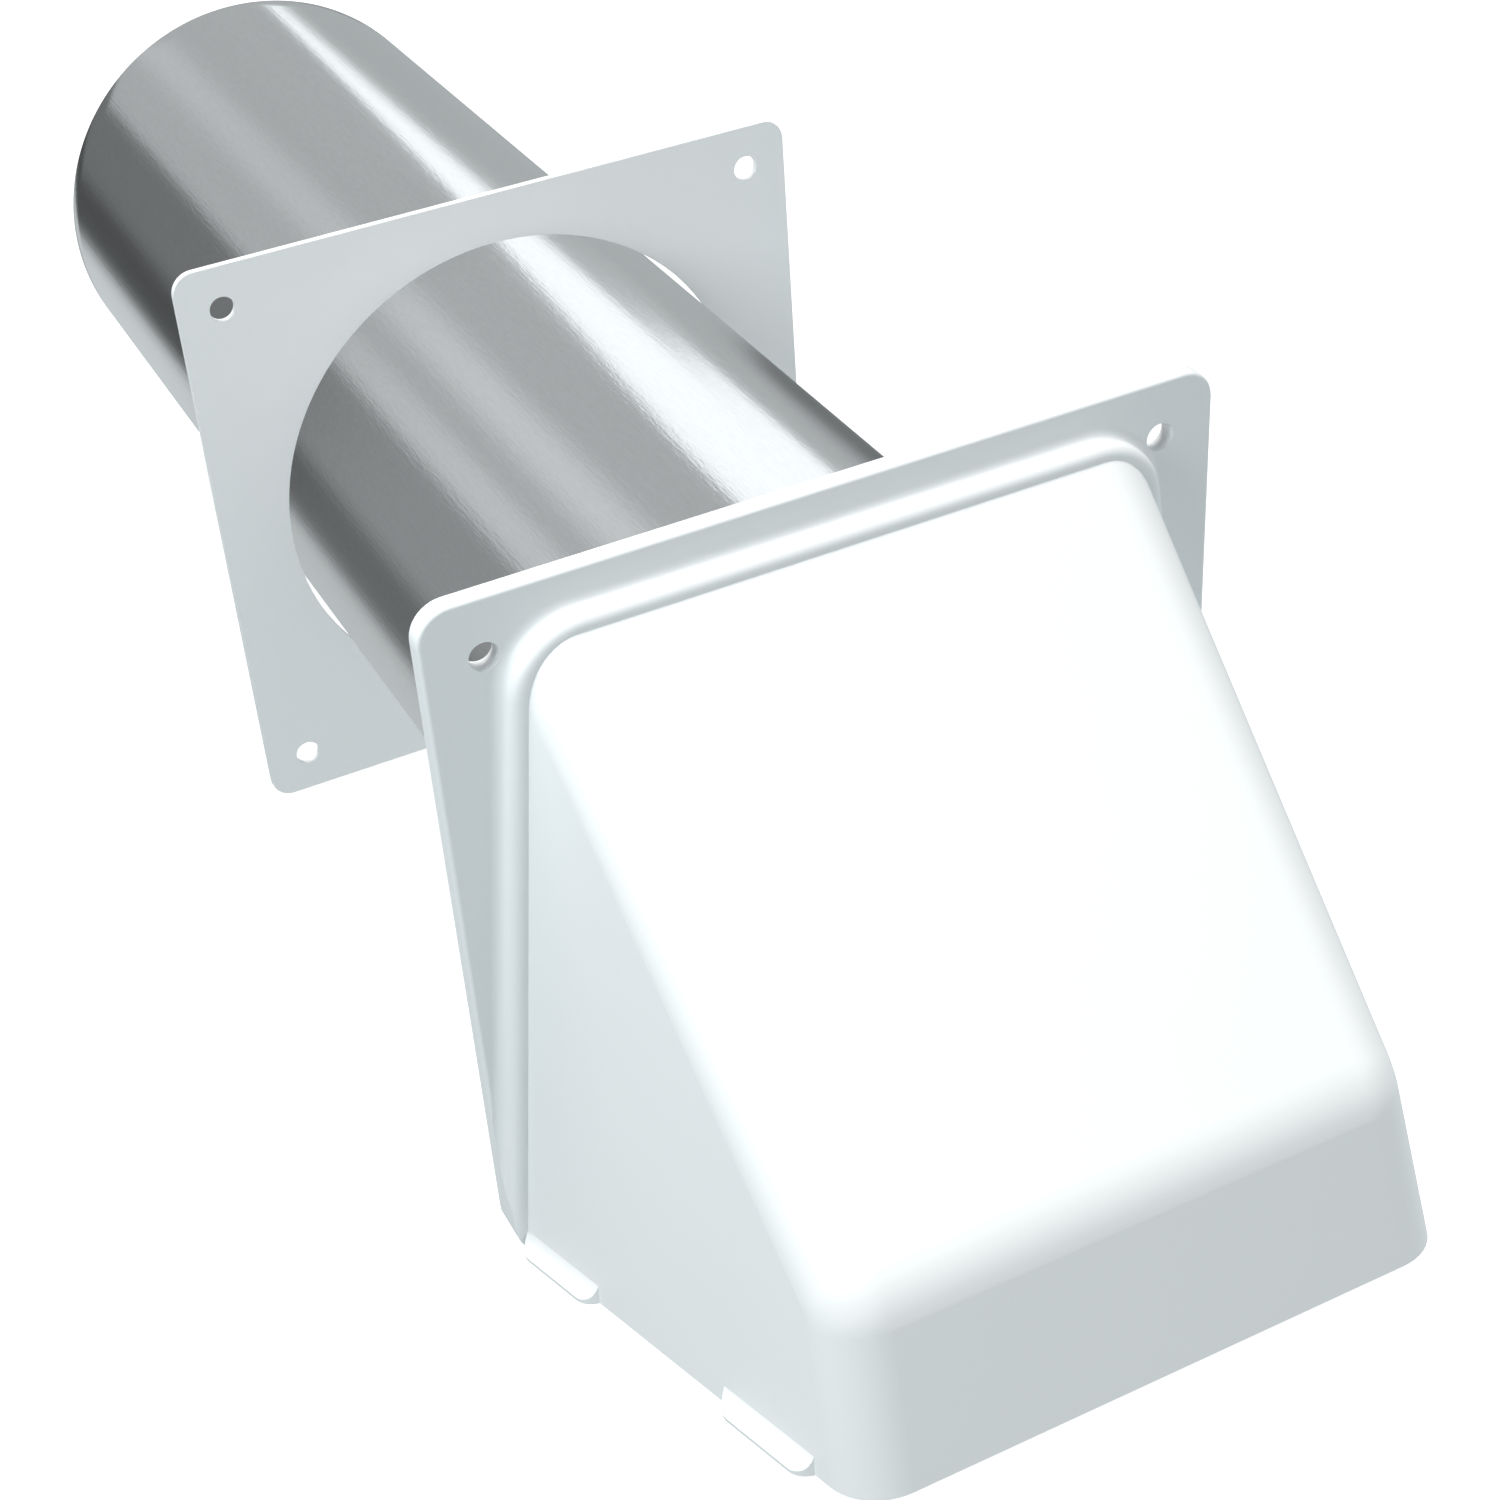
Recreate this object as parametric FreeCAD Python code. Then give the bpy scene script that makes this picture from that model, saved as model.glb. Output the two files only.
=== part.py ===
import FreeCAD, Part
import math
import os

# Wall vent hood with its tail pipe and wall plate, in millimetres.
# X runs to the right as seen from outdoors, Y runs into the wall, Z is up.
# The origin is on the duct's axis, in the plane of the flange's back face.

# Tail pipe
pipe_radius = 50.8
pipe_wall = 0.45
pipe_length = 312.5
pipe_lead = 0.1

# Wall plate, which slides on the pipe
plate_width = 132.4
plate_height = 124.4
plate_thickness = 1.5
plate_corner = 4.5
plate_hole_gap = 1.0
plate_screw_inset = 9.0
plate_place = 141.4

# Flange
flange_width = 144.0
flange_height = 132.0
flange_thickness = 3.4
flange_corner = 6.0
flange_edge_round = 0.7
flange_screw_inset_x = 10.4
flange_screw_inset_z = 10.6
screw_hole_radius = 2.6

# Boss round the root of the canopy, with an S-shaped flank
boss_depth = 4.6
boss_ledge = 0.5
boss_round = 2.1
boss_corner = 10.5

# Canopy: a sloping roof, a leaning front lip and two tapered cheeks
canopy_top = 57.2
canopy_projection = 100.7
rim_margin = 2.4
rim_rise = 18.0
lip_height = 31.0
lip_lean = 9.7
canopy_top_width = 111.8
canopy_side_margin = 1.5
canopy_front_width = 107.2
brow_round = 17.6
corner_round = 10.0
hood_wall = 2.0

# Snap flares on the lower edges of the cheeks
flare_out = 2.4
flare_height = 4.0
flare_skin = 1.2
flare_edge = 0.7
flare_corner = 4.0
flare_cove = 0.35
flare_rear_start = 8.2
flare_rear_length = 23.5
flare_front_start = 66.0
flare_front_length = 24.0

# Throat, pipe collar and the seat of the damper
collar_gap = 0.1
collar_wall = 2.0
collar_length = 14.0
pipe_seat_depth = 1.0
pipe_seat_gap = 0.2
seat_height = 1.2
seat_width = 2.0

# Damper flap and its hinge
flap_thickness = 1.4
flap_overlap = 1.3
flap_seat_gap = 0.3
flap_neck_width = 60.0
flap_bead_width = 1.6
flap_bead_height = 1.0
hinge_height = 52.3
hinge_bar_radius = 1.9
hinge_pin_radius = 1.5
hinge_pin_gap = 0.08
hinge_side_gap = 0.4
ear_width = 3.5
ear_radius = 2.8

# Bird guard, which snaps into the mouth
guard_gap = 0.3
guard_recess = 0.4
guard_thickness = 2.6
guard_frame = 3.0
guard_bar = 1.8
guard_pitch = 11.0
guard_cross_pitch = 23.0
guard_lug_gap = 0.4
guard_lug_inset = 3.0

# Spare length for tools that cut right through, and how deep joined bodies reach into each other
spare = 10.0
seam = 1.0

# Values worked out from the sizes above
rim_back_drop = flange_height / 2 - rim_margin
canopy_back_width = flange_width - 2 * canopy_side_margin
flange_screw_spacing_x = flange_width - 2 * flange_screw_inset_x
flange_screw_spacing_z = flange_height - 2 * flange_screw_inset_z
plate_screw_spacing_x = plate_width - 2 * plate_screw_inset
plate_screw_spacing_z = plate_height - 2 * plate_screw_inset
boss_front = flange_thickness + boss_depth
rim_slope = rim_rise / (canopy_projection - boss_front)
pipe_bore = pipe_radius - pipe_wall
collar_radius = pipe_bore - collar_gap
throat_radius = collar_radius - collar_wall
seat_front = flange_thickness + seat_height
flap_back = seat_front + flap_seat_gap
hinge_depth = flap_back + flap_thickness / 2


def vector(x, y, z):
    return FreeCAD.Vector(x, y, z)


def face_of(points):
    return Part.Face(Part.makePolygon(points + [points[0]]))


def solid_of(faces):
    return Part.makeSolid(Part.makeShell(faces))


def along_y(radius, start, end, x=0.0, z=0.0):
    """Cylinder along Y, from start to end."""
    return Part.makeCylinder(radius, end - start, vector(x, start, z), vector(0, 1, 0))


def along_x(radius, start, end, y, z):
    """Cylinder along X, from start to end."""
    return Part.makeCylinder(radius, end - start, vector(start, y, z), vector(1, 0, 0))


def both_sides(shape):
    """The shape and its mirror image on the other side of the middle plane."""
    return [shape, shape.mirror(vector(0, 0, 0), vector(1, 0, 0))]


def fuse_all(first, others):
    return first.multiFuse(others).removeSplitter()


def lies_at(edge, y):
    """Whether an edge lies in the upright plane at depth y."""
    return all(abs(vertex.Point.y - y) < 1e-4 for vertex in edge.Vertexes)


def rounded_plate(width, height, corner, front, thickness):
    """Upright plate centred on the duct's axis, with rounded corners, whose back face is at
    front + thickness."""
    plate = Part.makeBox(width, thickness, height, vector(-width / 2, front, -height / 2))
    uprights = [edge for edge in plate.Edges if abs(edge.tangentAt(edge.FirstParameter).y) > 0.99]
    return plate.makeFillet(corner, uprights)


def screw_holes(spacing_x, spacing_z, start, end):
    """Four round cutters at the corners of a rectangle."""
    places = [(i * spacing_x / 2, k * spacing_z / 2) for i in (-1, 1) for k in (-1, 1)]
    return [along_y(screw_hole_radius, start, end, x, z) for x, z in places]


# Lines of the canopy's side profile, as points (y, z) and directions

def rim_height(y):
    """Height of the rim's plane, which rises to the front."""
    return -rim_back_drop + rim_slope * (-boss_front - y)


def meet(p, d, q, e):
    """Point where the line through p along d meets the line through q along e."""
    det = d[0] * -e[1] + e[0] * d[1]
    s = ((q[0] - p[0]) * -e[1] + e[0] * (q[1] - p[1])) / det
    return p[0] + s * d[0], p[1] + s * d[1]


def shifted(p, d, distance):
    """The point moved square to direction d, to the inside of the canopy."""
    length = math.hypot(d[0], d[1])
    return p[0] - d[1] / length * distance, p[1] + d[0] / length * distance


rim_front = (-canopy_projection, rim_height(-canopy_projection))
brow = (rim_front[0] + lip_lean, rim_front[1] + lip_height)
root_top = (-boss_front, canopy_top)
roof_line = (brow[0] - root_top[0], brow[1] - root_top[1])
lip_line = (rim_front[0] - brow[0], rim_front[1] - brow[1])

# The cheeks are planes: half width = top value + flare for each mm down - taper for each mm forward
cheek_flare = (canopy_back_width - canopy_top_width) / 2 / (canopy_top + rim_back_drop)
cheek_taper = ((canopy_top_width - canopy_front_width) / 2 + cheek_flare * (canopy_top - rim_front[1])) / (
    canopy_projection - boss_front)
cheek_square = math.sqrt(1 + cheek_flare ** 2 + cheek_taper ** 2)


def half_width(y, z, inset=0.0):
    """Half the canopy's width at depth y and height z, with its cheeks moved in by inset."""
    return (canopy_top_width / 2 + cheek_flare * (canopy_top - z) + cheek_taper * (y + boss_front)
            - inset * cheek_square)


def canopy_body(inset, back, drop=0.0):
    """The canopy as a full body. Its roof, lip and cheeks are moved in by inset, its back is the plane
    y = back, and its bottom is drop below the rim."""
    roof_point = shifted(root_top, roof_line, inset)
    lip_point = shifted(brow, lip_line, inset)
    top = meet(roof_point, roof_line, (back, 0.0), (0.0, 1.0))
    corner = meet(roof_point, roof_line, lip_point, lip_line)
    front = meet(lip_point, lip_line, (0.0, rim_height(0.0) - drop), (1.0, -rim_slope))
    bottom = (back, rim_height(back) - drop)
    reach = canopy_back_width

    def at(point, x):
        return vector(x, point[0], point[1])

    # The brow's arc touches the roof and the lip
    radius = max(brow_round - inset, 1.0)
    roof_angle = math.atan2(roof_line[1], roof_line[0])
    lip_angle = math.atan2(lip_line[1], lip_line[0])
    half_turn = abs(lip_angle - roof_angle) / 2
    touch = radius * math.tan(half_turn)
    roof_end = (corner[0] - touch * math.cos(roof_angle), corner[1] - touch * math.sin(roof_angle))
    lip_start = (corner[0] + touch * math.cos(lip_angle), corner[1] + touch * math.sin(lip_angle))
    centre = shifted(roof_end, roof_line, radius)
    out = (corner[0] - centre[0], corner[1] - centre[1])
    out_length = math.hypot(out[0], out[1])
    crown = (centre[0] + out[0] / out_length * radius, centre[1] + out[1] / out_length * radius)
    profile = Part.Wire([
        Part.LineSegment(at(bottom, -reach), at(top, -reach)).toShape(),
        Part.LineSegment(at(top, -reach), at(roof_end, -reach)).toShape(),
        Part.Arc(at(roof_end, -reach), at(crown, -reach), at(lip_start, -reach)).toShape(),
        Part.LineSegment(at(lip_start, -reach), at(front, -reach)).toShape(),
        Part.LineSegment(at(front, -reach), at(bottom, -reach)).toShape(),
    ])
    prism = Part.Face(profile).extrude(vector(2 * reach, 0, 0))
    body = prism.common(cheek_wedge(inset))
    return body.makeFillet(max(corner_round - inset, 0.5), cheek_edges(body, inset, back, drop))


def cheek_wedge(inset):
    """All the space between the two cheeks, as a block larger than the hood."""
    low, high = -rim_back_drop - 5 * spare, canopy_top + 5 * spare
    near, far = 2 * spare, -canopy_projection - 5 * spare

    def corner(side, y, z):
        return vector(side * half_width(y, z, inset), y, z)

    rings = [[corner(-1, y, z) for y, z in ((near, low), (far, low), (far, high), (near, high))],
             [corner(1, y, z) for y, z in ((near, low), (far, low), (far, high), (near, high))]]
    left, right = rings
    bands = [face_of([left[i], left[(i + 1) % 4], right[(i + 1) % 4], right[i]]) for i in range(4)]
    return solid_of([face_of(left), face_of(right)] + bands)


def cheek_edges(body, inset, back, drop):
    """Edges where a cheek meets the roof, the brow or the lip."""
    found = []
    for edge in body.Edges:
        ends = [vertex.Point for vertex in edge.Vertexes]
        on_cheek = all(abs(abs(p.x) - half_width(p.y, p.z, inset)) < 1e-4 for p in ends)
        at_back = all(abs(p.y - back) < 1e-4 for p in ends)
        at_bottom = all(abs(p.z - rim_height(p.y) + drop) < 1e-4 for p in ends)
        one_side = ends[0].x * ends[-1].x > 0
        if on_cheek and one_side and not at_back and not at_bottom:
            found.append(edge)
    return found


# Hood

def boss_corners(offset):
    """The right half of the boss's outline, as (x, z): the centre and radius of its round corner, and
    its straight side from the corner down past the rim. The offset is from the canopy's root."""
    half_top, half_bottom = canopy_top_width / 2, canopy_back_width / 2
    lean = math.atan2(half_bottom - half_top, canopy_top + rim_back_drop)
    centre = (half_top - boss_corner * (1 - math.sin(lean)) / math.cos(lean), canopy_top - boss_corner)
    radius = boss_corner + offset
    side = (centre[0] + radius * math.cos(lean), centre[1] + radius * math.sin(lean))
    fall = side[1] + rim_back_drop + spare
    return centre, radius, side, (side[0] + fall * math.tan(lean), side[1] - fall), lean


def boss_block(offset, front, back):
    """Prism of the boss's outline between two depths."""
    centre, radius, side, foot, lean = boss_corners(offset)
    middle = (math.pi / 2 + lean) / 2
    crown = (centre[0] + radius * math.cos(middle), centre[1] + radius * math.sin(middle))
    top = centre[1] + radius

    def at(x, z):
        return vector(x, front, z)

    outline = Part.Wire([
        Part.LineSegment(at(-foot[0], foot[1]), at(*foot)).toShape(),
        Part.LineSegment(at(*foot), at(*side)).toShape(),
        Part.Arc(at(*side), at(*crown), at(centre[0], top)).toShape(),
        Part.LineSegment(at(centre[0], top), at(-centre[0], top)).toShape(),
        Part.Arc(at(-centre[0], top), at(-crown[0], crown[1]), at(-side[0], side[1])).toShape(),
        Part.LineSegment(at(-side[0], side[1]), at(-foot[0], foot[1])).toShape(),
    ])
    return Part.Face(outline).extrude(vector(0, back - front, 0))


def boss_tube(offset, y, radius):
    """Round bar bent along the boss's outline, in pieces."""
    centre, bend, side, foot, lean = boss_corners(offset)
    top = vector(centre[0], y, centre[1] + bend)
    circle = Part.Face(Part.Wire(Part.makeCircle(radius, top, vector(1, 0, 0))))
    elbow = circle.revolve(vector(centre[0], y, centre[1]), vector(0, 1, 0), 90 - math.degrees(lean))
    down = vector(foot[0] - side[0], 0, foot[1] - side[1])
    leg = Part.makeCylinder(radius, down.Length, vector(side[0], y, side[1]), down)
    return [along_x(radius, -centre[0], centre[0], y, top.z)] + both_sides(elbow) + both_sides(leg)


def make_boss():
    """Raised boss with an S-shaped flank: a cove rises from the flange and rolls over into the ledge
    at the canopy's root. Low down the flank runs into the flange's sides, flush with them."""
    middle = boss_ledge + boss_round
    crest = boss_block(middle, -boss_front, -flange_thickness + seam)
    rim = [edge for edge in crest.Edges if lies_at(edge, -boss_front) and edge.CenterOfMass.z > -rim_back_drop]
    crest = crest.makeFillet(boss_round, rim)
    cove_front = -flange_thickness - boss_round
    cove = boss_block(middle + boss_round, cove_front, -flange_thickness + seam)
    cove = cove.cut(Part.makeCompound(boss_tube(middle + boss_round, cove_front, boss_round)))
    boss = crest.fuse(cove)
    boss = boss.common(rounded_plate(flange_width, flange_height, flange_corner, -boss_front, boss_front))
    return boss.common(guard_slab(0.0, 2 * flange_height))


def make_flange():
    plate = rounded_plate(flange_width, flange_height, flange_corner, -flange_thickness, flange_thickness)
    front = [edge for edge in plate.Edges if lies_at(edge, -flange_thickness)]
    return plate.makeFillet(flange_edge_round, front)


def rim_point(y):
    """Point on the outer edge of the left cheek's rim."""
    z = rim_height(y)
    return vector(-half_width(y, z), y, z)


def rim_axes(start):
    """Origin on the left rim, start in front of the wall, and the directions along the rim to the
    front, out from the cheek and up from the mouth."""
    origin = rim_point(-start)
    along = (rim_point(-start - 1.0) - origin).normalize()
    up = vector(0, rim_slope, 1).normalize()
    return origin, along, along.cross(up).normalize(), up


def rim_prism(section, start, length):
    """Prism along the left rim. The section's points are (out, up) from the rim's outer edge, and a
    piece of three points is an arc."""
    origin, along, out, up = rim_axes(start)
    edges = []
    for piece in section:
        points = [origin + out * point[0] + up * point[1] for point in piece]
        edges.append(Part.Arc(*points).toShape() if len(points) == 3 else Part.LineSegment(*points).toShape())
    return Part.Face(Part.Wire(edges)).extrude(along * length)


def ring(corners):
    """Straight pieces from each corner to the next, back to the first."""
    return [[corner, corners[(i + 1) % len(corners)]] for i, corner in enumerate(corners)]


def flare_plan(start, length):
    """Upright block over the left rim with its outer corners rounded, which trims a flare's ends."""
    inner = -2 * flare_corner
    corners = [(flare_out, -spare), (flare_out, spare), (inner, spare), (inner, -spare)]
    block = rim_prism(ring(corners), start, length)
    origin, along, out, up = rim_axes(start)
    outer = [edge for edge in block.Edges
             if abs(edge.tangentAt(edge.FirstParameter).dot(up)) > 0.999
             and (edge.CenterOfMass - origin).dot(out) > flare_out / 2]
    return block.makeFillet(flare_corner, outer)


def flare_outside(start, length):
    """A flare: the cheek's lower edge kicks out along a cove."""
    lean = -cheek_flare * flare_height
    inner = -hood_wall / 2
    low, edge, high = (flare_out, 0.0), (flare_out, flare_edge), (lean, flare_height)
    cove = ((edge[0] + high[0]) / 2 - flare_cove, (edge[1] + high[1]) / 2 - flare_cove)
    back = (inner + lean, flare_height)
    section = [[(inner, 0.0), low], [low, edge], [edge, cove, high], [high, back], [back, (inner, 0.0)]]
    return rim_prism(section, start, length).common(flare_plan(start, length))


def flare_pocket(start, length):
    """Pocket inside a flare, open to the mouth, for a lug of the guard."""
    inner = -2 * hood_wall
    outer = flare_out - flare_skin
    roof = -hood_wall - cheek_flare * flare_height
    corners = [(inner, -seam), (outer, -seam), (outer, flare_edge / 2), (roof, flare_height),
               (inner, flare_height)]
    return rim_prism(ring(corners), start + flare_skin, length - 2 * flare_skin)


flares = [(flare_rear_start, flare_rear_length), (flare_front_start, flare_front_length)]


def make_ears():
    """Two ears inside the canopy's top, with the sockets of the damper's pins."""
    start = flap_neck_width / 2 + hinge_side_gap
    y, z = -hinge_depth, hinge_height
    ear = along_x(ear_radius, start, start + ear_width, y, z)
    web = Part.makeBox(ear_width, hinge_depth - flange_thickness + seam, 2 * ear_radius,
                       vector(start, y, z - ear_radius))
    return both_sides(ear.fuse(web))


def make_hood():
    hood = fuse_all(make_flange(), [make_boss(), canopy_body(0.0, -boss_front + seam)])
    hood = hood.cut(along_y(pipe_radius + pipe_seat_gap, -pipe_seat_depth, spare))
    for start, length in flares:
        hood = fuse_all(hood, both_sides(flare_outside(start, length)))
    hood = hood.cut(canopy_body(hood_wall, -flange_thickness, drop=spare))
    for start, length in flares:
        hood = hood.cut(Part.makeCompound(both_sides(flare_pocket(start, length))))
    collar = along_y(collar_radius, -flange_thickness / 2, collar_length)
    seat = along_y(throat_radius + seat_width, -seat_front, -flange_thickness / 2)
    hood = fuse_all(hood, [collar, seat] + make_ears())
    hood = hood.cut(along_y(throat_radius, -seat_front - spare, collar_length + spare))
    pins = along_x(hinge_pin_radius + hinge_pin_gap, -flange_width / 4, flange_width / 4,
                   -hinge_depth, hinge_height)
    holes = screw_holes(flange_screw_spacing_x, flange_screw_spacing_z, -boss_front - spare, spare)
    return hood.cut(Part.makeCompound([pins] + holes))


# Damper flap

def make_flap():
    """Round flap that covers the throat, hung from a bar that ends in two pins."""
    front = -flap_back - flap_thickness
    radius = throat_radius + flap_overlap
    disc = along_y(radius, front, -flap_back)
    neck = Part.makeBox(flap_neck_width, flap_thickness, hinge_height - radius / 2,
                        vector(-flap_neck_width / 2, front, radius / 2))
    bead = along_y(radius, front - flap_bead_height, front)
    bead = bead.cut(along_y(radius - flap_bead_width, front - spare, front + spare))
    bead = bead.cut(Part.makeBox(2 * radius, 2 * spare, radius, vector(-radius, front - spare, radius / 2)))
    half_bar = flap_neck_width / 2
    bar = along_x(hinge_bar_radius, -half_bar, half_bar, -hinge_depth, hinge_height)
    half_pin = half_bar + hinge_side_gap + ear_width
    pin = along_x(hinge_pin_radius, -half_pin, half_pin, -hinge_depth, hinge_height)
    return fuse_all(disc, [neck, bead, bar, pin])


# Bird guard

def guard_slab(low, high):
    """The space between two planes parallel to the rim."""
    back, front = spare, -canopy_projection - spare
    reach = canopy_back_width
    section = [vector(-reach, back, rim_height(back) + low), vector(-reach, front, rim_height(front) + low),
               vector(-reach, front, rim_height(front) + high), vector(-reach, back, rim_height(back) + high)]
    return face_of(section).extrude(vector(2 * reach, 0, 0))


def guard_slots():
    """Cutters between the bars: rows across the mouth, columns from its back to its front."""
    columns = int(canopy_back_width / guard_pitch / 2) + 1
    rows = int(canopy_projection / guard_cross_pitch) + 1
    slot_x, slot_y = guard_pitch - guard_bar, guard_cross_pitch - guard_bar
    low, height = -rim_back_drop - spare, rim_back_drop
    first = -flange_thickness - guard_gap - guard_frame
    slots = []
    for row in range(rows):
        y = first - (row + 1) * guard_cross_pitch + guard_bar
        for column in range(-columns, columns + 1):
            x = column * guard_pitch - slot_x / 2
            slots.append(Part.makeBox(slot_x, slot_y, height, vector(x, y, low)))
    return Part.makeCompound(slots)


def guard_lug(start, length):
    """Lug that clicks into a flare's pocket."""
    outer = flare_out - flare_skin - 2 * guard_lug_gap
    inner = -hood_wall - guard_gap - guard_frame / 2
    foot, head = guard_recess, guard_recess + guard_thickness
    shoulder = (-hood_wall - guard_lug_gap, head)
    corners = [(inner, foot), (outer, foot), (outer, foot + flare_edge / 2), shoulder, (inner, head)]
    return rim_prism(ring(corners), start + guard_lug_inset, length - 2 * guard_lug_inset)


def make_guard():
    inset = hood_wall + guard_gap
    back = -flange_thickness - guard_gap
    slab = guard_slab(guard_recess, guard_recess + guard_thickness)
    guard = canopy_body(inset, back, drop=spare).common(slab)
    window = canopy_body(inset + guard_frame, back - guard_frame, drop=spare)
    guard = guard.cut(guard_slots().common(window))
    lugs = []
    for start, length in flares:
        lugs += both_sides(guard_lug(start, length))
    return fuse_all(guard, lugs)


# Tail pipe and wall plate

def make_pipe():
    """Rolled tube, pushed over the collar to the floor of its seat in the flange's back. The seated
    end has a slight lead."""
    start, end = -pipe_seat_depth, pipe_length - pipe_seat_depth
    lead = Part.makeCone(pipe_radius - pipe_lead, pipe_radius, pipe_seat_depth, vector(0, start, 0),
                         vector(0, 1, 0))
    return along_y(pipe_radius, 0.0, end).fuse(lead).cut(along_y(pipe_bore, start - spare, end + spare))


def make_wall_plate():
    plate = rounded_plate(plate_width, plate_height, plate_corner, plate_place, plate_thickness)
    start, end = plate_place - spare, plate_place + plate_thickness + spare
    hole = along_y(pipe_radius + plate_hole_gap, start, end)
    screws = screw_holes(plate_screw_spacing_x, plate_screw_spacing_z, start, end)
    return plate.cut(Part.makeCompound([hole] + screws))


def main():
    os.makedirs("parts", exist_ok=True)
    pieces = {
        "hood": make_hood(),
        "damper_flap": make_flap(),
        "bird_guard": make_guard(),
        "duct_pipe": make_pipe(),
        "wall_plate": make_wall_plate(),
    }
    for name, shape in pieces.items():
        shape.exportStep("parts/" + name + ".step")
        print(name, "solids", len(shape.Solids), "valid", shape.isValid(), "volume", round(shape.Volume, 1))


main()
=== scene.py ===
"""Finishes a wall vent hood with its tail pipe and wall plate, and stages it for a picture.

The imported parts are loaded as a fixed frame, in metres: +X to the right as seen from outdoors, +Y into the
wall along the pipe, +Z up.
"""

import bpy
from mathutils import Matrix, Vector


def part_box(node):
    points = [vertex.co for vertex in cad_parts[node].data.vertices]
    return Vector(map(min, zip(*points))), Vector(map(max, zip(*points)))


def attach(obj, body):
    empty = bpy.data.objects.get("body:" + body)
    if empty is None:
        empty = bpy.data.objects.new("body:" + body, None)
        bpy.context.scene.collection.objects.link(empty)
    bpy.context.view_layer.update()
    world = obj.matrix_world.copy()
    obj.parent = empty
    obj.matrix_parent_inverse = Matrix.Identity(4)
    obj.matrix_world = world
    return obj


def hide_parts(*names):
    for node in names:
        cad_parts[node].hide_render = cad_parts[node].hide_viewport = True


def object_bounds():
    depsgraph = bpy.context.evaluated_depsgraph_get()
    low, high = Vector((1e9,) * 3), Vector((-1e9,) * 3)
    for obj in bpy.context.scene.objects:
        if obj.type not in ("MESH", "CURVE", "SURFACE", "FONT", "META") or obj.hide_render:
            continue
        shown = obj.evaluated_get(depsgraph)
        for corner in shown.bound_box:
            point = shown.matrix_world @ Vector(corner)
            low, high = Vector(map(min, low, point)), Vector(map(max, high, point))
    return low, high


bl_info = {
    "name": "Vent hood finish",
    "version": (1, 0, 0),
    "blender": (4, 5, 0),
    "location": "3D View > Sidebar > Vent hood",
    "description": "Moulded plastic, rolled aluminium and a studio for a wall vent hood",
    "category": "Object",
}

import math

import bpy
import numpy as np
from bpy.props import FloatProperty, FloatVectorProperty, IntProperty, PointerProperty
from mathutils import Matrix, Vector

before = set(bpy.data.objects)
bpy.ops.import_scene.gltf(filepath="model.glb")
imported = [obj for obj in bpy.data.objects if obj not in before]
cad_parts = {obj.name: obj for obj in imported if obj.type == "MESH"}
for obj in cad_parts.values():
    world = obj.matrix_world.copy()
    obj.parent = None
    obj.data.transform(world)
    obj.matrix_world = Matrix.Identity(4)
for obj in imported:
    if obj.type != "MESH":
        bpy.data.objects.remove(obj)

CAD_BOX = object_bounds()


# Settings

class VentPlasticSettings(bpy.types.PropertyGroup):
    """Finish of the white mouldings."""
    hood_colour: FloatVectorProperty(
        name="Hood colour", description="Colour of the hood's plastic",
        subtype="COLOR", size=3, min=0.0, max=1.0, default=(0.86, 0.875, 0.88))
    # Lighter than the hood's plastic: part of this lightness is painted light, which stands in for light that
    # the stage gives the wall plate too little of.
    plate_colour_and_painted_light: FloatVectorProperty(
        name="Plate colour", description="Colour of the wall plate's plastic",
        subtype="COLOR", size=3, min=0.0, max=1.0, default=(0.93, 0.94, 0.945))
    roughness: FloatProperty(
        name="Roughness", description="How matt the moulded surface is",
        subtype="FACTOR", min=0.0, max=1.0, default=0.42)
    grain_size: FloatProperty(
        name="Grain size", description="Width of the mould's fine texture",
        unit="LENGTH", min=0.00005, max=0.005, default=0.0005)
    grain_depth: FloatProperty(
        name="Grain depth", description="Depth of the mould's fine texture",
        unit="LENGTH", min=0.0, max=0.0005, default=0.000008)
    sink_size: FloatProperty(
        name="Sink size", description="Distance between the slow hollows left by cooling",
        unit="LENGTH", min=0.005, max=0.2, default=0.03)
    sink_depth: FloatProperty(
        name="Sink depth", description="Depth of the slow hollows left by cooling",
        unit="LENGTH", min=0.0, max=0.001, default=0.00002)


class VentPipeSettings(bpy.types.PropertyGroup):
    """Shape and finish of the rolled aluminium pipe."""
    colour: FloatVectorProperty(
        name="Aluminium colour", description="Colour of the bare metal",
        subtype="COLOR", size=3, min=0.0, max=1.0, default=(0.90, 0.865, 0.865))
    roughness: FloatProperty(
        name="Roughness", description="How dull the rolled sheet is",
        subtype="FACTOR", min=0.0, max=1.0, default=0.11)
    ripple_depth: FloatProperty(
        name="Ripple depth", description="How far the rolled sheet strays from a true circle",
        unit="LENGTH", min=0.0, max=0.0005, default=0.00004)
    grain_width: FloatProperty(
        name="Grain width", description="Width of the rolling lines, which run along the pipe",
        unit="LENGTH", min=0.00005, max=0.005, default=0.0006)
    grain_length: FloatProperty(
        name="Grain length", description="Length of the rolling lines",
        unit="LENGTH", min=0.005, max=1.0, default=0.06)
    grain_depth: FloatProperty(
        name="Grain depth", description="Depth of the rolling lines",
        unit="LENGTH", min=0.0, max=0.0001, default=0.000030)
    sides: IntProperty(
        name="Sides", description="Steps round the pipe", min=48, max=1024, default=360)
    rings: IntProperty(
        name="Rings", description="Steps along the pipe's outside", min=4, max=200, default=60)


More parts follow.
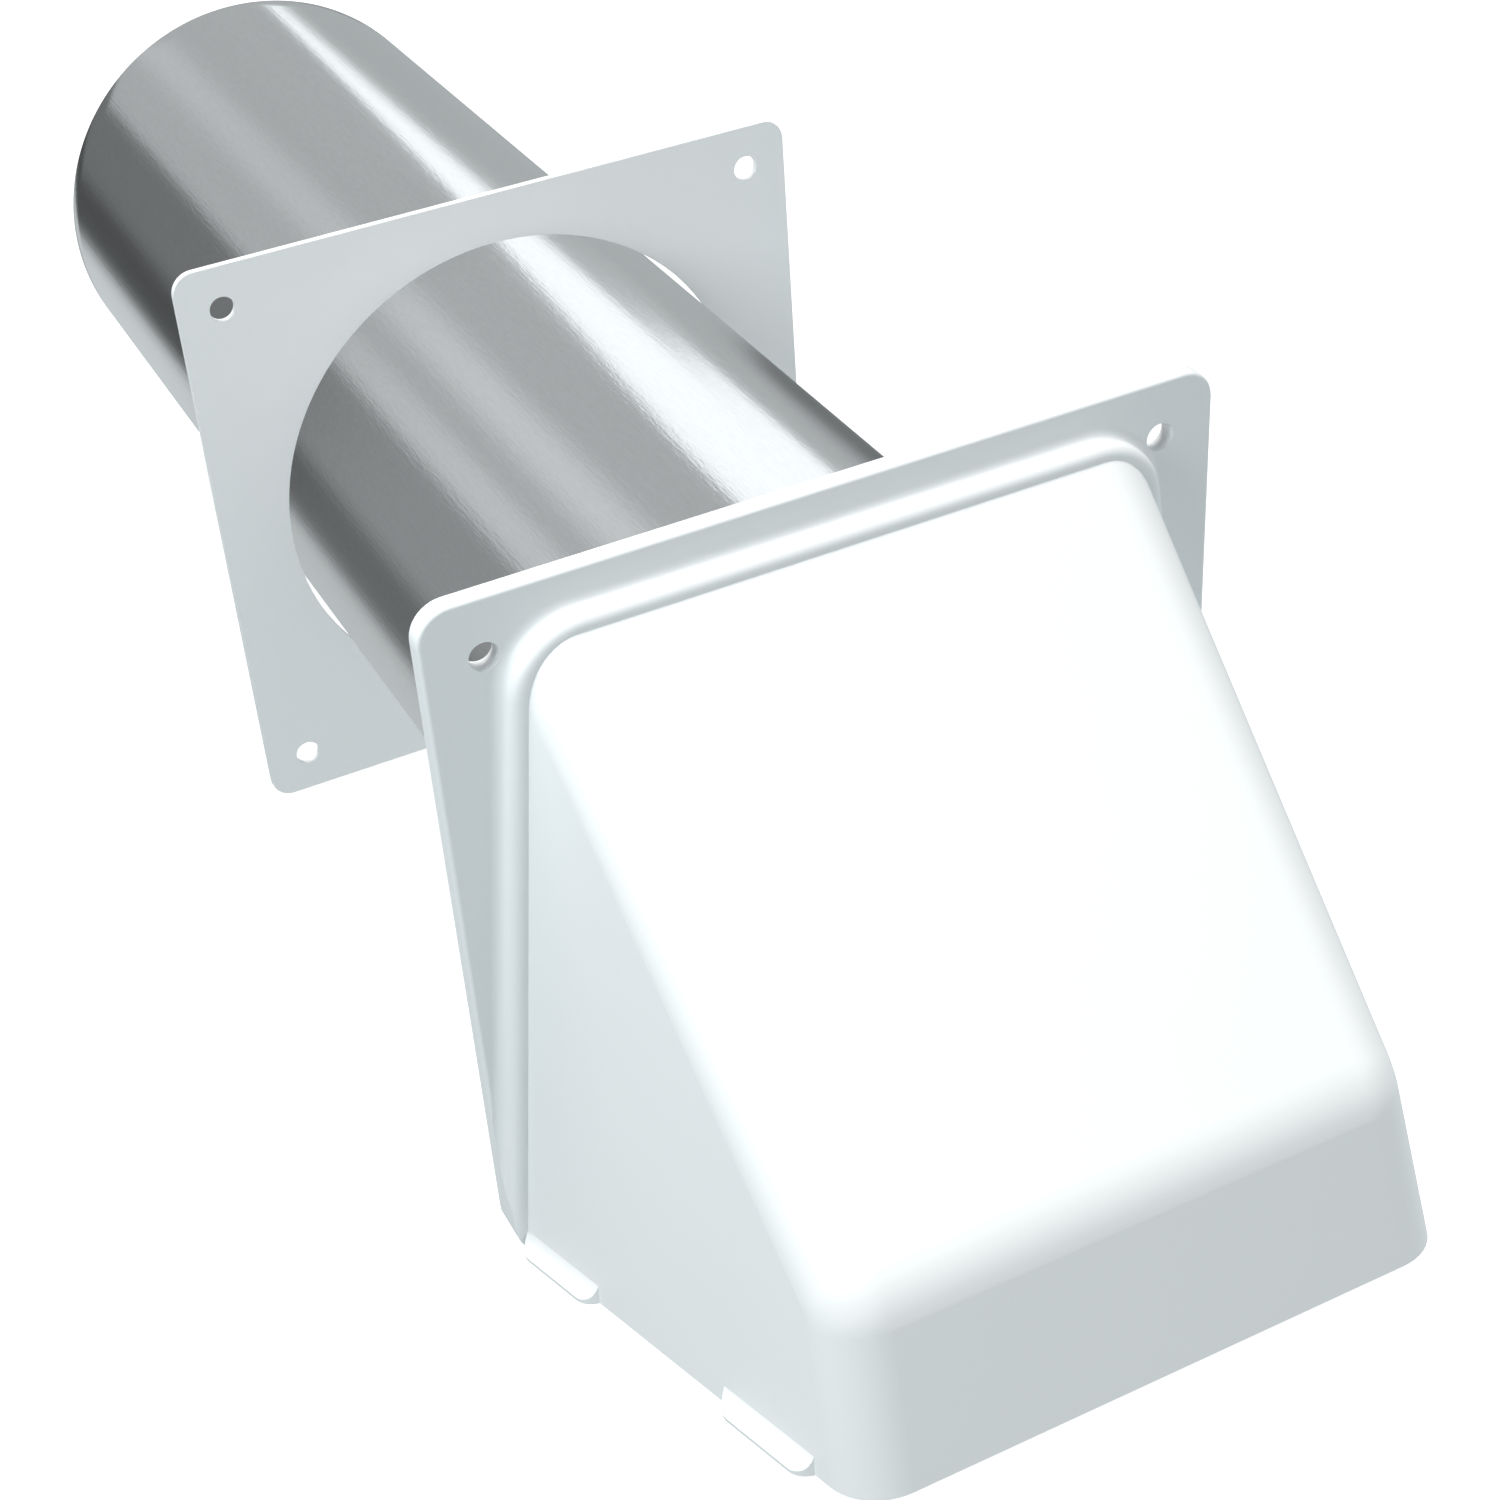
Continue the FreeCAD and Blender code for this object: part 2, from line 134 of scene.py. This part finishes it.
class VentCameraSettings(bpy.types.PropertyGroup):
    """Where the camera stands and what it sees."""
    place: FloatVectorProperty(
        name="Place", description="Where the camera stands",
        subtype="TRANSLATION", unit="LENGTH", size=3, default=(-0.1682, -0.3303, 0.2790))
    aim: FloatVectorProperty(
        name="Aim", description="Point that the camera is turned to",
        subtype="TRANSLATION", unit="LENGTH", size=3, default=(-0.0077, 0.0386, -0.0044))
    roll: FloatProperty(
        name="Roll", description="Turn of the camera about its line of sight",
        subtype="ANGLE", unit="ROTATION", default=math.radians(-4.978))
    lens: FloatProperty(
        name="Lens", description="Focal length in millimetres for a 36 mm sensor",
        min=10.0, max=300.0, default=64.16)
    shift_x: FloatProperty(
        name="Shift X", description="Sideways shift of the lens", min=-0.5, max=0.5, default=0.0297)
    shift_y: FloatProperty(
        name="Shift Y", description="Upward shift of the lens", min=-0.5, max=0.5, default=-0.0121)


class VentStageSettings(bpy.types.PropertyGroup):
    """Floor and light of the studio."""
    floor_size: FloatProperty(
        name="Floor size", description="Width of the floor",
        unit="LENGTH", min=1.0, max=100.0, default=12.0)
    floor_colour: FloatVectorProperty(
        name="Floor colour", description="Colour of the floor",
        subtype="COLOR", size=3, min=0.0, max=1.0, default=(0.25, 0.25, 0.25))
    floor_glow: FloatProperty(
        name="Floor glow", description="Brightness of the lit floor by itself",
        min=0.0, max=5.0, default=0.97)
    top_strength: FloatProperty(
        name="Top light", description="Strength of the light from above",
        min=0.0, max=100.0, default=3.1)
    top_colour: FloatVectorProperty(
        name="Top colour", description="Colour of the light from above",
        subtype="COLOR", size=3, min=0.0, max=1.0, default=(1.0, 0.96, 0.94))
    top_elevation: FloatProperty(
        name="Top elevation", description="Height of the top light above the horizon behind the hood",
        subtype="ANGLE", unit="ROTATION", default=math.radians(80.0))
    top_azimuth: FloatProperty(
        name="Top azimuth", description="Turn of the top light from straight behind to the left",
        subtype="ANGLE", unit="ROTATION", default=math.radians(20.0))
    top_spread: FloatProperty(
        name="Top spread", description="Width of the top light in the sky, which softens its shadows",
        subtype="ANGLE", unit="ROTATION", default=math.radians(24.0))
    side_power: FloatProperty(
        name="Side light", description="Power of the soft box to the left of the hood",
        min=0.0, max=1000.0, default=2.6)
    side_size: FloatProperty(
        name="Side size", description="Width of the soft box",
        unit="LENGTH", min=0.05, max=5.0, default=0.35)
    side_place: FloatVectorProperty(
        name="Side place", description="Where the soft box stands",
        subtype="TRANSLATION", unit="LENGTH", size=3, default=(-0.55, -0.10, 0.38))
    side_aim: FloatVectorProperty(
        name="Side aim", description="Point that the soft box faces",
        subtype="TRANSLATION", unit="LENGTH", size=3, default=(-0.05, -0.03, 0.0))
    sky_colour: FloatVectorProperty(
        name="Sky colour", description="Colour of the sky and of the soft box",
        subtype="COLOR", size=3, min=0.0, max=1.0, default=(0.90, 0.98, 1.0))
    sky_strength: FloatProperty(
        name="Sky strength", description="Strength of the soft light from all round",
        min=0.0, max=10.0, default=0.09)
    sky_front: FloatProperty(
        name="Front light", description="Extra soft light from the front",
        min=0.0, max=10.0, default=0.14)
    sky_right: FloatProperty(
        name="Right light", description="Extra soft light from the right",
        min=0.0, max=10.0, default=0.50)
    sky_below: FloatProperty(
        name="Light from below", description="Extra soft light that comes up from the white table",
        min=0.0, max=10.0, default=0.86)


# Shader maths

class Wire:
    """One output socket of a node, which takes part in Python expressions."""

    def __init__(self, shade, socket):
        self.shade = shade
        self.socket = socket

    def maths(self, operation, *values, swap=False):
        """Adds a Math node on this socket and some values. With swap, this socket comes last."""
        inputs = [self, *values]
        if swap:
            inputs.reverse()
        return self.shade.node("ShaderNodeMath", {"operation": operation}, dict(enumerate(inputs)))

    def __add__(self, other):
        return self.maths("ADD", other)

    def __radd__(self, other):
        return self.maths("ADD", other, swap=True)

    def __sub__(self, other):
        return self.maths("SUBTRACT", other)

    def __rsub__(self, other):
        return self.maths("SUBTRACT", other, swap=True)

    def __mul__(self, other):
        return self.maths("MULTIPLY", other)

    def __rmul__(self, other):
        return self.maths("MULTIPLY", other, swap=True)

    def rise(self, low, high):
        """0 below low, 1 above high, and a smooth step between them."""
        settings = {"interpolation_type": "SMOOTHSTEP"}
        inputs = {"Value": self, "From Min": low, "From Max": high}
        return self.shade.node("ShaderNodeMapRange", settings, inputs)


class Shade:
    """A node tree that is filled by calls and expressions."""

    def __init__(self, tree):
        self.tree = tree
        self.tree.nodes.clear()

    def node(self, kind, settings=None, inputs=None, output=0):
        """Adds a node: its settings first, then the values or wires of its sockets. Returns one output."""
        made = self.tree.nodes.new(kind)
        for name, value in (settings or {}).items():
            setattr(made, name, value)
        for key, value in (inputs or {}).items():
            if isinstance(value, Wire):
                self.tree.links.new(value.socket, made.inputs[key])
            else:
                made.inputs[key].default_value = value
        return Wire(self, made.outputs[output]) if made.outputs else None

    def object_place(self, scale=(1.0, 1.0, 1.0)):
        """Object coordinates, each multiplied by its scale."""
        place = self.node("ShaderNodeTexCoord", output="Object")
        return self.node("ShaderNodeMapping", {"vector_type": "POINT"}, {"Vector": place, "Scale": scale})

    def noise(self, place, scale=1.0, detail=2.0, roughness=0.5):
        """Noise of 0 to 1, with so many features per metre of its place."""
        inputs = {"Vector": place, "Scale": scale, "Detail": detail, "Roughness": roughness}
        return self.node("ShaderNodeTexNoise", {"normalize": True}, inputs, "Fac")

    def tint(self, factor, colour_a, colour_b):
        """Colour between two colours. A Mix node has its two colours at sockets 6 and 7, and gives them mixed
        at output 2."""
        inputs = {0: factor, 6: (*colour_a, 1.0), 7: (*colour_b, 1.0)}
        return self.node("ShaderNodeMix", {"data_type": "RGBA"}, inputs, 2)

    def bump(self, height, depth, before=None):
        """Bump whose height of 0 to 1 stands for a depth in metres."""
        inputs = {"Height": height, "Distance": depth, "Strength": 1.0}
        if before is not None:
            inputs["Normal"] = before
        return self.node("ShaderNodeBump", None, inputs)


# Finishes

# Moulded plastic: how many clouds of unevenness lie in one sink, what share they have in the mottle, the
# darkest and lightest share of the colour, and how far the roughness swings.
PLASTIC_IOR = 1.49
CLOUDS_PER_SINK = 0.6
CLOUD_SHARE = 0.7
PLASTIC_DARKEST = 0.985
PLASTIC_LIGHTEST = 1.01
PLASTIC_ROUGHNESS_SWING = 0.1

# Rolled aluminium: how much longer than wide the speckles are, the broad streaks per metre across and along
# the pipe, the share of the speckles in relief and colour, the darkest and lightest share of the colour, and
# how far streaks and lines swing the roughness.
SPECKLE_STRETCH = 6.0
STREAKS_ACROSS = 60.0
STREAKS_ALONG = 5.0
SPECKLE_SHARE = 0.6
METAL_DARKEST = 0.90
METAL_LIGHTEST = 1.10
STREAK_ROUGHNESS_SWING = 0.08
LINE_ROUGHNESS_SWING = 0.06


def scaled(colour, share):
    """The colour with each part multiplied by a share."""
    return tuple(part * share for part in colour)


def moulded_plastic(name, colour, settings):
    """White moulded plastic: a fine grain from the mould, slow hollows from cooling, and slight unevenness of
    colour and gloss."""
    material = bpy.data.materials.new(name)
    material.use_nodes = True
    shade = Shade(material.node_tree)
    place = shade.object_place()
    grain = shade.noise(place, 1.0 / settings.grain_size)
    sink = shade.noise(place, 1.0 / settings.sink_size, detail=1.0)
    cloud = shade.noise(place, CLOUDS_PER_SINK / settings.sink_size, detail=3.0)
    relief = shade.bump(sink, settings.sink_depth)
    relief = shade.bump(grain, settings.grain_depth, relief)
    mottle = CLOUD_SHARE * cloud + (1.0 - CLOUD_SHARE) * grain
    smoothest = settings.roughness - PLASTIC_ROUGHNESS_SWING / 2
    shader = shade.node("ShaderNodeBsdfPrincipled", None, {
        "Base Color": shade.tint(mottle, scaled(colour, PLASTIC_DARKEST), scaled(colour, PLASTIC_LIGHTEST)),
        "Roughness": smoothest + PLASTIC_ROUGHNESS_SWING * cloud,
        "IOR": PLASTIC_IOR,
        "Normal": relief,
    })
    shade.node("ShaderNodeOutputMaterial", None, {"Surface": shader})
    return material


def rolled_aluminium(name, settings):
    """Bare rolled sheet: bright metal with fine rolling lines along the pipe, speckles and broad streaks."""
    material = bpy.data.materials.new(name)
    material.use_nodes = True
    shade = Shade(material.node_tree)
    across = 1.0 / settings.grain_width
    along = 1.0 / settings.grain_length
    line_place = shade.object_place((across, along, across))
    speckle_place = shade.object_place((across, across / SPECKLE_STRETCH, across))
    streak_place = shade.object_place((STREAKS_ACROSS, STREAKS_ALONG, STREAKS_ACROSS))
    lines = shade.noise(line_place, detail=3.0, roughness=0.6)
    speckle = shade.noise(speckle_place, roughness=0.7)
    streak = shade.noise(streak_place)
    relief = shade.bump((1.0 - SPECKLE_SHARE) * lines + SPECKLE_SHARE * speckle, settings.grain_depth)
    mottle = (1.0 - SPECKLE_SHARE) * streak + SPECKLE_SHARE * speckle
    smoothest = settings.roughness - STREAK_ROUGHNESS_SWING / 2
    shader = shade.node("ShaderNodeBsdfPrincipled", None, {
        "Base Color": shade.tint(mottle, scaled(settings.colour, METAL_DARKEST),
                                 scaled(settings.colour, METAL_LIGHTEST)),
        "Metallic": 1.0,
        "Roughness": smoothest + STREAK_ROUGHNESS_SWING * streak + LINE_ROUGHNESS_SWING * lines,
        "Normal": relief,
    })
    shade.node("ShaderNodeOutputMaterial", None, {"Surface": shader})
    return material


# Meshes

# Steps in the half circle of the pipe's lip
LIP_STEPS = 6

# Slow waves in the rolled sheet: how many go round the pipe, how many turns they drift along its length,
# where they start, and their share of the ripple.
RIPPLES = (
    (3, 0.5, 0.4, 0.35),
    (7, -0.7, 2.1, 0.30),
    (12, 0.4, 1.0, 0.20),
    (19, -0.3, 3.7, 0.15),
)


def closed_grid(points):
    """Faces of a grid of points that closes in both directions, as rows of four indices."""
    rows, columns = points.shape[:2]
    index = np.arange(rows * columns).reshape(rows, columns)
    down = np.roll(index, -1, axis=0)
    right = np.roll(index, -1, axis=1)
    across = np.roll(down, -1, axis=1)
    return np.stack([index, down, across, right], axis=-1).reshape(-1, 4)


def mesh_piece(name, points, faces, material):
    """Smooth mesh object from arrays of points and faces."""
    mesh = bpy.data.meshes.new(name)
    mesh.from_pydata(points.reshape(-1, 3).tolist(), [], faces.tolist())
    mesh.shade_smooth()
    mesh.materials.append(material)
    mesh.validate()
    piece = bpy.data.objects.new(name, mesh)
    bpy.context.scene.collection.objects.link(piece)
    return piece


def node_radii(node):
    """Smallest and largest distance of a node's corners from the duct's axis."""
    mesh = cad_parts[node].data
    places = np.zeros(len(mesh.vertices) * 3)
    mesh.vertices.foreach_get("co", places)
    places = places.reshape(-1, 3)
    distance = np.hypot(places[:, 0], places[:, 2])
    return distance.min(), distance.max()


def wall_outline(start, end, inner, outer, rings):
    """Outline of a tube's wall as (along, radius): out along the outside, round the far lip, back along the
    bore and round the near lip. Each lip is a half circle as wide as the wall."""
    half_wall = (outer - inner) / 2
    middle = (outer + inner) / 2
    near = start + half_wall
    far = end - half_wall
    outside = np.linspace(near, far, rings)
    turn = np.linspace(0.0, math.pi, LIP_STEPS + 1)[1:-1]
    along = [outside, far + half_wall * np.sin(turn), outside[::-1], near - half_wall * np.sin(turn)]
    radius = [np.full(rings, outer), middle + half_wall * np.cos(turn),
              np.full(rings, inner), middle - half_wall * np.cos(turn)]
    return np.concatenate(along), np.concatenate(radius)


def pipe_surface(start, end, inner, outer, settings):
    """Grid of points of the pipe's wall. A point is (r cos t, y, r sin t), where the outline gives y and r,
    and r shrinks by up to the ripple depth with slow waves round and along the pipe."""
    along, radius = wall_outline(start, end, inner, outer, settings.rings)
    turn = np.linspace(0.0, 2 * math.pi, settings.sides, endpoint=False)
    length = end - start
    wave = np.zeros((len(along), len(turn)))
    for order, drift, phase, weight in RIPPLES:
        lag = 2 * math.pi * drift * (along[:, None] - start) / length
        wave += weight * np.sin(order * turn[None, :] + lag + phase)
    r = radius[:, None] - settings.ripple_depth * (1 + wave) / 2
    y = np.repeat(along[:, None], len(turn), axis=1)
    return np.stack([r * np.cos(turn), y, r * np.sin(turn)], axis=-1)


# Pieces

def give_material(node, material):
    """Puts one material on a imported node."""
    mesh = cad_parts[node].data
    mesh.materials.clear()
    mesh.materials.append(material)


class VENT_OT_finish_hood(bpy.types.Operator):
    """Give the hood its moulded plastic"""
    bl_idname = "vent.finish_hood"
    bl_label = "Finish hood"

    def execute(self, context):
        settings = context.scene.vent_plastic
        give_material("hood", moulded_plastic("hood_plastic", settings.hood_colour, settings))
        return {"FINISHED"}


class VENT_OT_finish_inner_parts(bpy.types.Operator):
    """Give the damper flap and the bird guard their moulded plastic"""
    bl_idname = "vent.finish_inner_parts"
    bl_label = "Finish damper and guard"

    def execute(self, context):
        settings = context.scene.vent_plastic
        for node, name in (("damper_flap", "flap_plastic"), ("bird_guard", "guard_plastic")):
            give_material(node, moulded_plastic(name, settings.hood_colour, settings))
        return {"FINISHED"}


class VENT_OT_finish_plate(bpy.types.Operator):
    """Give the wall plate its moulded plastic"""
    bl_idname = "vent.finish_plate"
    bl_label = "Finish wall plate"

    def execute(self, context):
        settings = context.scene.vent_plastic
        # The plate's plastic is a lighter copy of the hood's, with painted light in its colour.
        give_material("wall_plate", moulded_plastic("plate_plastic", settings.plate_colour_and_painted_light, settings))
        # The pipe doesn't reflect the plate, so that its bands run on up to it.
        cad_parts["wall_plate"].visible_glossy = False
        return {"FINISHED"}


class VENT_OT_make_pipe(bpy.types.Operator):
    """Make the rolled aluminium pipe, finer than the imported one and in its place"""
    bl_idname = "vent.make_pipe"
    bl_label = "Make tail pipe"

    def execute(self, context):
        settings = context.scene.vent_pipe
        low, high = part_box("duct_pipe")
        inner, outer = node_radii("duct_pipe")
        points = pipe_surface(low.y, high.y, inner, outer, settings)
        material = rolled_aluminium("pipe_aluminium", settings)
        pipe = mesh_piece("tail_pipe", points, closed_grid(points), material)
        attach(pipe, "hood_and_pipe")
        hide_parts("duct_pipe")
        return {"FINISHED"}


# Studio

# A direction in the sky has an angle about the pipe's axis, in degrees from the right over the top, and a
# depth, which is 1 straight behind the hood, 0 at the side and -1 straight in front.

# The studio round the pipe is an even light, with soft boxes that add to it and dark flags that take from it.
# Each row gives the angles where one begins and ends, how soft its edges are, and what it adds in front of
# the wall plate and at the pipe's free end. The light changes from one to the other between two depths.
EVEN_LIGHT = 0.45
PIPE_RIG = (
    (100.0, 120.0, 8.0, 0.20, 0.10),
    (135.0, 152.0, 5.0, 0.15, 0.0),
    (154.0, 236.0, 4.0, -0.15, -0.28),
    (200.0, 232.0, 8.0, -0.15, -0.10),
    (242.0, 300.0, 8.0, 0.10, 0.20),
)
NEAR_DEPTH = 0.84
FAR_DEPTH = 0.88

# The bright strip at the upper right lies between two angles. Past the taper's depth its upper edge comes
# down by so many degrees per unit of depth. Up to the step's depth its lower edge is some degrees lower.
STRIP_FROM = 27.0
STRIP_TO = 65.0
STRIP_SOFT = 1.5
STRIP_BRIGHTNESS = 0.72
STRIP_TAPER = 270.0
STRIP_TAPER_DEPTH = 0.80
STRIP_EXTRA = 12.0
STRIP_STEP_DEPTH = 0.817
STRIP_STEP_SOFT = 0.004

# The dark corner at the lower right lies between two angles, up to a depth.
CORNER_FROM = 315.0
CORNER_TO = 350.0
CORNER_SOFT = 12.0
CORNER_SHADE = 0.62
CORNER_DEPTH = 0.804
CORNER_DEPTH_SOFT = 0.006

# Glossy surfaces see the pipe's studio from the first depth on, and only that past the second.
BEHIND_FROM = 0.3
BEHIND_TO = 0.6

# Directions that the extra soft light comes from. It fades out a little past a right angle to them.
FRONT_WAY = (0.0, -0.98, 0.2)
RIGHT_WAY = (0.95, -0.2, 0.2)
BELOW_WAY = (0.0, 0.0, -1.0)
WAY_FADES_AT = -0.1

# Brighter than white, so that the sky and the floor meet without a line.
CAMERA_WHITE = 1.2


def between(value, low, high, soft):
    """1 between two values and 0 outside them, with soft edges."""
    return value.rise(low - soft, low + soft) * (1.0 - value.rise(high - soft, high + soft))


def soft_light(shade, direction, settings):
    """Light from all round, with more from the front, the right and below."""
    light = settings.sky_strength
    for way, strength in ((FRONT_WAY, settings.sky_front), (RIGHT_WAY, settings.sky_right),
                          (BELOW_WAY, settings.sky_below)):
        inputs = {0: direction, 1: way}
        facing = shade.node("ShaderNodeVectorMath", {"operation": "DOT_PRODUCT"}, inputs, "Value")
        light = light + strength * facing.rise(WAY_FADES_AT, 1.0)
    return light


def pipe_light(angle, depth):
    """Light that the pipe shows: the even light with its soft boxes and flags, the bright strip and the dark
    corner."""
    far = depth.rise(NEAR_DEPTH, FAR_DEPTH)
    light = EVEN_LIGHT
    for low, high, soft, near_share, far_share in PIPE_RIG:
        light = light + between(angle, low, high, soft) * (near_share + (far_share - near_share) * far)
    past_step = depth.rise(STRIP_STEP_DEPTH - STRIP_STEP_SOFT, STRIP_STEP_DEPTH + STRIP_STEP_SOFT)
    low_edge = STRIP_FROM - STRIP_EXTRA * (1.0 - past_step)
    high_edge = STRIP_TO - STRIP_TAPER * (depth - STRIP_TAPER_DEPTH).maths("MAXIMUM", 0.0)
    above = (angle - low_edge).rise(-STRIP_SOFT, STRIP_SOFT)
    under = (high_edge - angle).rise(-STRIP_SOFT, STRIP_SOFT)
    past_corner = depth.rise(CORNER_DEPTH - CORNER_DEPTH_SOFT, CORNER_DEPTH + CORNER_DEPTH_SOFT)
    corner = between(angle, CORNER_FROM, CORNER_TO, CORNER_SOFT) * (1.0 - past_corner)
    return (light + STRIP_BRIGHTNESS * (above * under)) * (1.0 - CORNER_SHADE * corner)


def studio_sky(world, settings):
    """Sky of the studio: soft light for matt surfaces, the pipe's studio for glossy ones that face behind the
    hood, and plain white for the camera."""
    world.use_nodes = True
    shade = Shade(world.node_tree)
    direction = shade.node("ShaderNodeTexCoord", output="Generated")
    split = shade.node("ShaderNodeSeparateXYZ", None, {0: direction})
    x, y, z = (Wire(shade, socket) for socket in split.socket.node.outputs)
    turn = z.maths("ARCTAN2", x) * (0.5 / math.pi)
    angle = turn.maths("FRACT") * 360.0
    soft = soft_light(shade, direction, settings)
    gloss = soft + y.rise(BEHIND_FROM, BEHIND_TO) * (pipe_light(angle, y) - soft)
    path = shade.node("ShaderNodeLightPath")
    is_camera = Wire(shade, path.socket.node.outputs["Is Camera Ray"])
    is_glossy = Wire(shade, path.socket.node.outputs["Is Glossy Ray"])
    unseen = soft + is_glossy * (gloss - soft)
    background = shade.node("ShaderNodeBackground", None, {
        "Color": (*settings.sky_colour, 1.0),
        "Strength": unseen + is_camera * (CAMERA_WHITE - unseen),
    })
    shade.node("ShaderNodeOutputWorld", None, {"Surface": background})


def make_floor(settings, height):
    """Plain pale floor, lit by itself. It lights nothing else: what comes up from below is the sky's."""
    half = settings.floor_size / 2
    corners = np.array([(-half, -half, height), (half, -half, height), (half, half, height),
                        (-half, half, height)])
    material = bpy.data.materials.new("floor_paper")
    material.use_nodes = True
    shade = Shade(material.node_tree)
    shader = shade.node("ShaderNodeBsdfPrincipled", None, {
        "Base Color": (*settings.floor_colour, 1.0),
        "Roughness": 0.9,
        "Emission Color": (1.0, 1.0, 1.0, 1.0),
        "Emission Strength": settings.floor_glow,
    })
    shade.node("ShaderNodeOutputMaterial", None, {"Surface": shader})
    floor = mesh_piece("floor", corners, np.array([[0, 1, 2, 3]]), material)
    floor.visible_diffuse = False
    floor.visible_glossy = False


def place_light(light, towards, place=(0.0, 0.0, 0.0)):
    """Puts a light into the scene, with its back to a direction. The camera doesn't see it."""
    lamp = bpy.data.objects.new(light.name, light)
    turned = Vector(towards).to_track_quat("Z", "Y").to_matrix().to_4x4()
    lamp.matrix_world = Matrix.Translation(Vector(place)) @ turned
    lamp.visible_camera = False
    bpy.context.scene.collection.objects.link(lamp)


def make_top_light(settings):
    """Broad light from above, leaning a little to the back left."""
    light = bpy.data.lights.new("top_light", "SUN")
    light.energy = settings.top_strength
    light.color = settings.top_colour
    light.angle = settings.top_spread
    level = math.cos(settings.top_elevation)
    towards = (-level * math.sin(settings.top_azimuth), level * math.cos(settings.top_azimuth),
               math.sin(settings.top_elevation))
    place_light(light, towards)


def make_side_light(settings):
    """Soft box to the left of the hood."""
    light = bpy.data.lights.new("side_light", "AREA")
    light.energy = settings.side_power
    light.color = settings.sky_colour
    light.shape = "SQUARE"
    light.size = settings.side_size
    place_light(light, Vector(settings.side_place) - Vector(settings.side_aim), settings.side_place)


def make_camera(settings):
    """Camera at the photograph's place and angle."""
    camera = bpy.data.cameras.new("camera")
    camera.lens = settings.lens
    camera.sensor_width = 36.0
    camera.shift_x = settings.shift_x
    camera.shift_y = settings.shift_y
    camera.clip_start = 0.01
    camera.clip_end = 50.0
    holder = bpy.data.objects.new("camera", camera)
    place = Vector(settings.place)
    away = place - Vector(settings.aim)
    turned = away.to_track_quat("Z", "Y").to_matrix().to_4x4()
    holder.matrix_world = Matrix.Translation(place) @ turned @ Matrix.Rotation(settings.roll, 4, "Z")
    bpy.context.scene.collection.objects.link(holder)
    bpy.context.scene.camera = holder


class VENT_OT_make_stage(bpy.types.Operator):
    """Make the floor, the lights and the camera"""
    bl_idname = "vent.make_stage"
    bl_label = "Make stage"

    def execute(self, context):
        scene = context.scene
        scene.view_settings.view_transform = "Standard"
        scene.world = bpy.data.worlds.new("studio")
        studio_sky(scene.world, scene.vent_stage)
        make_floor(scene.vent_stage, CAD_BOX[0].z)
        make_top_light(scene.vent_stage)
        make_side_light(scene.vent_stage)
        make_camera(scene.vent_camera)
        return {"FINISHED"}


# Panel

PIECES = (VENT_OT_finish_hood, VENT_OT_finish_inner_parts, VENT_OT_finish_plate, VENT_OT_make_pipe,
          VENT_OT_make_stage)
SETTINGS = {
    "vent_plastic": VentPlasticSettings,
    "vent_pipe": VentPipeSettings,
    "vent_camera": VentCameraSettings,
    "vent_stage": VentStageSettings,
}


class VENT_PT_panel(bpy.types.Panel):
    """Buttons and sizes of the vent hood"""
    bl_idname = "VENT_PT_panel"
    bl_label = "Vent hood"
    bl_space_type = "VIEW_3D"
    bl_region_type = "UI"
    bl_category = "Vent hood"

    def draw(self, context):
        for operator in PIECES:
            self.layout.operator(operator.bl_idname)
        for name in SETTINGS:
            settings = getattr(context.scene, name)
            box = self.layout.box()
            for field in settings.bl_rna.properties.keys():
                if field not in ("rna_type", "name"):
                    box.prop(settings, field)


def register():
    """Adds the settings, the operators and the panel to Blender."""
    for name, group in SETTINGS.items():
        bpy.utils.register_class(group)
        setattr(bpy.types.Scene, name, PointerProperty(type=group))
    for item in (*PIECES, VENT_PT_panel):
        bpy.utils.register_class(item)


def unregister():
    """Takes them out again, in reverse."""
    for item in (VENT_PT_panel, *reversed(PIECES)):
        bpy.utils.unregister_class(item)
    for name, group in reversed(SETTINGS.items()):
        delattr(bpy.types.Scene, name)
        bpy.utils.unregister_class(group)


def main():
    """Makes the stage and the pieces."""
    register()
    bpy.ops.vent.make_stage()
    bpy.ops.vent.finish_hood()
    bpy.ops.vent.finish_inner_parts()
    bpy.ops.vent.finish_plate()
    bpy.ops.vent.make_pipe()


if __name__ == "__main__":
    main()
